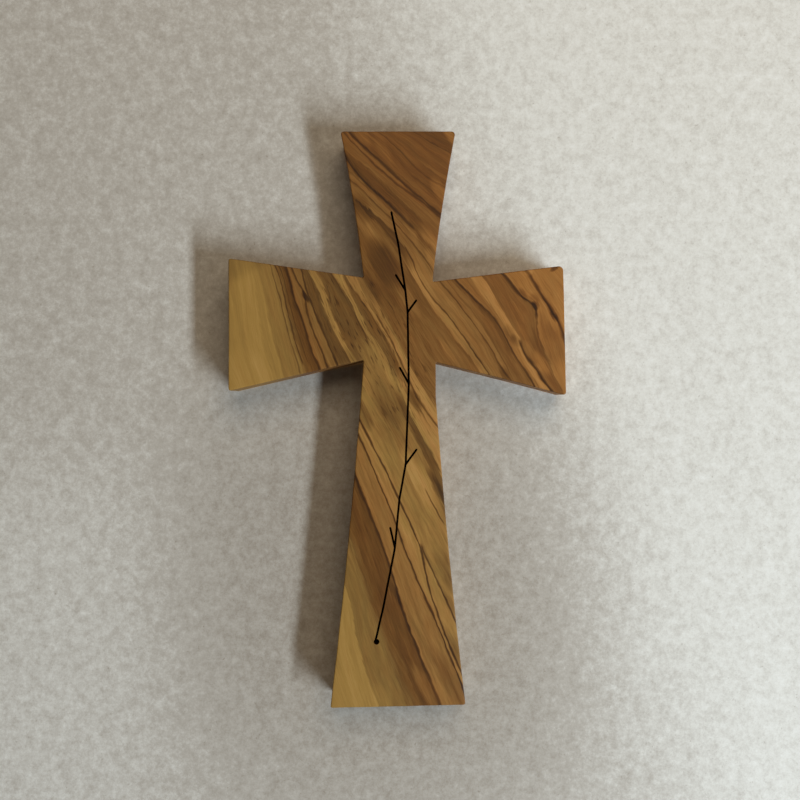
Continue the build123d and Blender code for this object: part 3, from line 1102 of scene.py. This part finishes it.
backdrop_axes = put(plaster, "ShaderNodeSeparateXYZ", {"Vector": object_place(plaster)}).outputs
backdrop_x = backdrop_axes["X"]
backdrop_z = backdrop_axes["Z"]
pixel = metres / pixels_per_millimetre
image_top = board_top * metres + top_row * pixel


def on_backdrop(column, row):
    """A pixel of the photograph as a place on the backdrop, across and up."""
    return (column - axis_column) * pixel, image_top - row * pixel


def reckoned(operation, *values):
    """The result of a sum on the backdrop."""
    return maths(plaster, operation, *values)


def fading(place, first, last, to_first=0.0, to_last=1.0):
    """A level that changes softly between two places on the backdrop, in millimetres."""
    return ranged(plaster, place, first * metres, last * metres, to_first, to_last)


# Painted light: the backdrop's colour falls off across a slanting line, and grows brighter again in the lower
# left corner
painted_light_slant = 0.35
dim_column = 250
bright_column = 540
painted_corner_light = 0.45
from_top = reckoned("SUBTRACT", backdrop_z, image_top)
slanted = reckoned("MULTIPLY_ADD", from_top, painted_light_slant, backdrop_x)
painted_light_and_mottle = ranged(plaster, slanted, on_backdrop(dim_column, 0)[0], on_backdrop(bright_column, 0)[0])
corner_across = fading(backdrop_x, -130.0, -50.0, painted_corner_light, 0.0)
corner_up = fading(backdrop_z, -140.0, -60.0, 1.0, 0.0)
painted_light_and_mottle = reckoned("MULTIPLY_ADD", corner_across, corner_up, painted_light_and_mottle)

# Painted shade: the backdrop's colour is a little darker round the cross, where the room's light is less
shade_x, shade_z = on_backdrop(385, 555)
shade_half_width = 300
shade_half_height = 410
painted_shade_depth = 0.62
off_x = reckoned("DIVIDE", reckoned("SUBTRACT", backdrop_x, shade_x), shade_half_width * pixel)
off_z = reckoned("DIVIDE", reckoned("SUBTRACT", backdrop_z, shade_z), shade_half_height * pixel)
off_squared = reckoned("MULTIPLY_ADD", off_x, off_x, reckoned("MULTIPLY", off_z, off_z))
painted_light_and_mottle = reckoned("SUBTRACT", painted_light_and_mottle, ranged(plaster, off_squared, 0.0, 1.0, painted_shade_depth, 0.0))

# A fine mottle with darker specks, read a little off the noise's own lattice
lattice_offset = 13.7
mottle_strength = 3.0
speck_depth = 0.6
off_lattice = put(plaster, "ShaderNodeMapping", {
    "Vector": object_place(plaster),
    "Location": (0.0, lattice_offset * metres, 0.0),
}).outputs[0]


def mottle(marks, detail, roughness):
    """Noise about zero over the backdrop, at this many marks a metre."""
    made = put(plaster, "ShaderNodeTexNoise", {
        "Vector": off_lattice,
        "Scale": marks,
        "Detail": detail,
        "Roughness": roughness,
    })
    return reckoned("SUBTRACT", made.outputs[0], 0.5)


painted_light_and_mottle = reckoned("MULTIPLY_ADD", mottle(210.0, 5.0, 0.9), mottle_strength, painted_light_and_mottle)
specks = ranged(plaster, mottle(900.0, 2.0, 0.5), 0.17, 0.30, 0.0, speck_depth)
painted_light_and_mottle = reckoned("SUBTRACT", painted_light_and_mottle, specks)
painted_light_and_mottle_share = ranged(plaster, painted_light_and_mottle, -1.0, 2.0, easing="LINEAR")
backdrop_colours = (
    (0.0, (146, 138, 126)),
    (0.33, (177, 172, 162)),
    (0.67, (213, 212, 204)),
    (1.0, (234, 235, 230)),
)
backdrop_colour = colour_ramp(plaster, painted_light_and_mottle_share, backdrop_colours)

# Painted shade: behind the saw kerf the backdrop's colour is near black, as it lies in the board's shade
# there
painted_kerf_shade = screen_colour(20, 12, 6)
off_axis = reckoned("ABSOLUTE", backdrop_x)
below_top = reckoned("SUBTRACT", board_top * metres, backdrop_z)
dark_across = fading(off_axis, 9.0, 10.0, 1.0, 0.0)
dark_above = fading(below_top, 20.0, 25.0)
dark_below = fading(below_top, 180.0, 185.0, 1.0, 0.0)
painted_kerf_shade_zone = reckoned("MULTIPLY", dark_across, reckoned("MULTIPLY", dark_above, dark_below))
feed_all(plaster, plaster_finish, {
    "Base Color": mixed(plaster, painted_kerf_shade_zone, backdrop_colour, painted_kerf_shade),
    "Roughness": 0.6,
    "Specular IOR Level": 0.1,
})


def show_either(tree, share, first, second):
    """Sends a mix of two shaders to the tree's output."""
    blend = put(tree, "ShaderNodeMixShader")
    for socket, value in zip(blend.inputs, (share, first.outputs[0], second.outputs[0])):
        feed(tree, socket, value)
    feed(tree, tree.get_output_node("CYCLES").inputs["Surface"], blend.outputs[0])


from_behind = put(plaster, "ShaderNodeNewGeometry").outputs["Backfacing"]
show_either(plaster, from_behind, plaster_finish, put(plaster, "ShaderNodeBsdfTransparent"))
backdrop_mesh.materials.append(pale_plaster)
backdrop.visible_shadow = False

# A tall cool lamp low on the right, a warm one above, a little light from the room, and a lamp for the back
world = bpy.data.worlds.new("room")
bpy.context.scene.world = world
world.use_nodes = True
room = world.node_tree
room_light = room.nodes["Background"]
feed_all(room, room_light, {"Color": (1.0, 0.95, 0.90, 1.0), "Strength": 0.055})
seen_room = put(room, "ShaderNodeBackground", {"Color": screen_colour(198, 196, 190)})
rays = put(room, "ShaderNodeLightPath").outputs
seen = maths(room, "MAXIMUM", rays["Is Camera Ray"], rays["Is Glossy Ray"])
seen = maths(room, "MAXIMUM", seen, rays["Is Transmission Ray"])
show_either(room, seen, room_light, seen_room)
middle = Vector((0, front_face, (board_top + board_bottom) / 2)) * metres


def lamp(name, place, span, power, colour):
    """A rectangular soft lamp at this place from the middle of the cross, and turned to it."""
    light = bpy.data.lights.new(name, "AREA")
    light.shape = "RECTANGLE"
    light.size, light.size_y = span
    light.energy = power
    light.color = colour
    made = bpy.data.objects.new(name, light)
    made.location = middle + Vector(place)
    made.rotation_euler = (-Vector(place)).to_track_quat("-Z", "Y").to_euler()
    bpy.context.scene.collection.objects.link(made)
    return made


lamp("side_lamp", (0.80, -0.82, -0.62), span=(0.12, 0.80), power=19.2, colour=(0.80, 0.90, 1.0))
lamp("high_lamp", (0.20, -0.90, 0.62), span=(0.8, 0.7), power=5.8, colour=(1.0, 0.82, 0.62))
back_lamp = lamp("back_lamp", (-0.15, 0.95, 0.0), span=(0.3, 0.3), power=8.8, colour=(1.0, 0.97, 0.93))
back_lamp.visible_glossy = False

# The camera stands straight before the cross, where the photograph was taken
focal_pixels = 863
pixel_middle = 0.5
camera_data = bpy.data.cameras.new("camera")
camera_data.sensor_width = 36.0
camera_data.sensor_fit = "HORIZONTAL"
camera_data.lens = camera_data.sensor_width * focal_pixels / image_size
camera_data.clip_start = 0.01
camera = bpy.data.objects.new("camera", camera_data)
view_across = (image_size / 2 - pixel_middle - axis_column) / pixels_per_millimetre
view_height = board_top - (image_size / 2 - pixel_middle - top_row) / pixels_per_millimetre
view_distance = focal_pixels / pixels_per_millimetre
camera.location = Vector((view_across, front_face - view_distance, view_height)) * metres
camera.rotation_euler = (pi / 2, 0, 0)
bpy.context.scene.collection.objects.link(camera)
bpy.context.scene.camera = camera
bpy.context.scene.view_settings.view_transform = "Standard"
